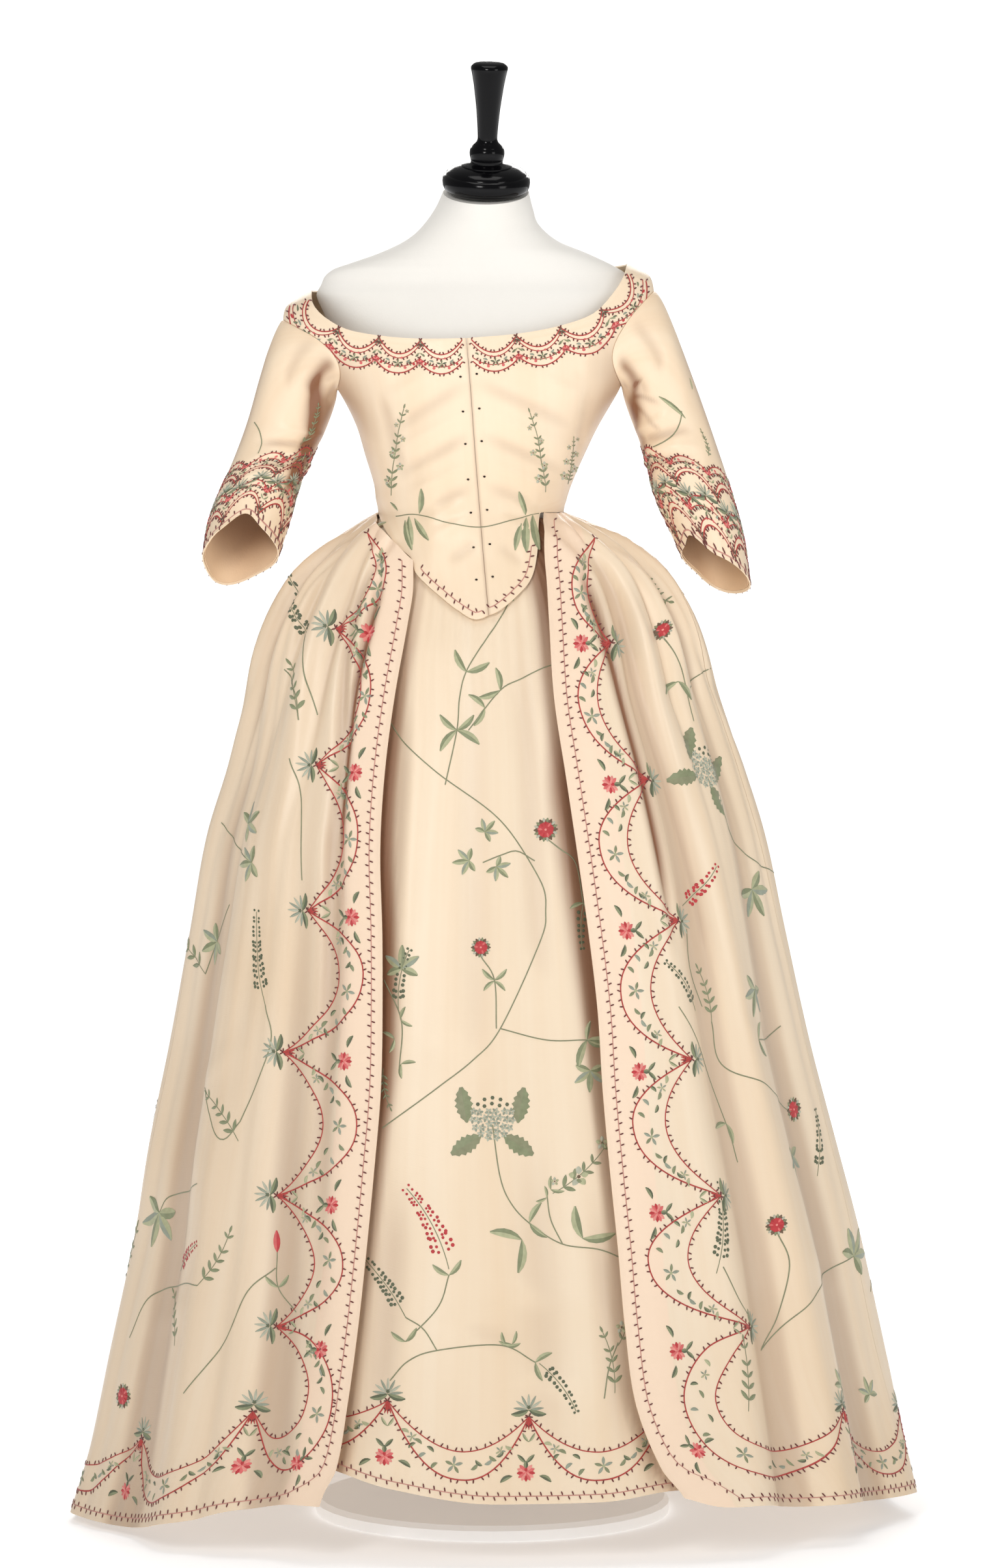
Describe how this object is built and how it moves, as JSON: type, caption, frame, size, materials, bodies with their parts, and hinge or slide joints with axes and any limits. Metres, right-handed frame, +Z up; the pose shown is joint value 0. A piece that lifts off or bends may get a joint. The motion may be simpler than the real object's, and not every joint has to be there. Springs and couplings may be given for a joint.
{
  "type": "robe a la polonaise on a dress form",
  "caption": "Open-fronted silk gown with fitted pointed bodice, elbow sleeves, pleated overskirt and petticoat, worn by a limbless dress form on a flat round base",
  "frame": {"origin": "centre of the underside of the round base, on the floor", "axes": "+Z up; the front of the gown faces -Y; +X is to the right of someone who looks at the front"},
  "size_m": [0.8991, 0.8224, 1.5471],
  "materials": {
    "silk": "cream silk with a soft sheen, embroidered with flowers and scalloped borders",
    "lining": "plain peach lining",
    "form_cover": "smooth off-white jersey",
    "black_lacquer": "black gloss lacquer on turned wood",
    "dark_metal": "satin black",
    "white_enamel": "matt white enamel"
  },
  "bodies": {
    "root": {"bodice_front_left": "silk", "bodice_front_right": "silk", "bodice_back_left": "silk", "bodice_back_right": "silk", "sleeve_left": "silk", "sleeve_right": "silk", "overskirt_front_left": "silk", "overskirt_side_left": "silk", "overskirt_back_left": "silk", "overskirt_front_right": "silk", "overskirt_side_right": "silk", "overskirt_back_right": "silk", "petticoat_front": "silk", "petticoat_left": "silk", "petticoat_right": "silk", "petticoat_back": "silk", "sleeve_lining_left": "lining", "sleeve_lining_right": "lining", "form_torso": "form_cover", "form_cap_and_handle": "black_lacquer", "stand_pole": "dark_metal", "stand_base": "white_enamel"}
  },
  "joints": []
}
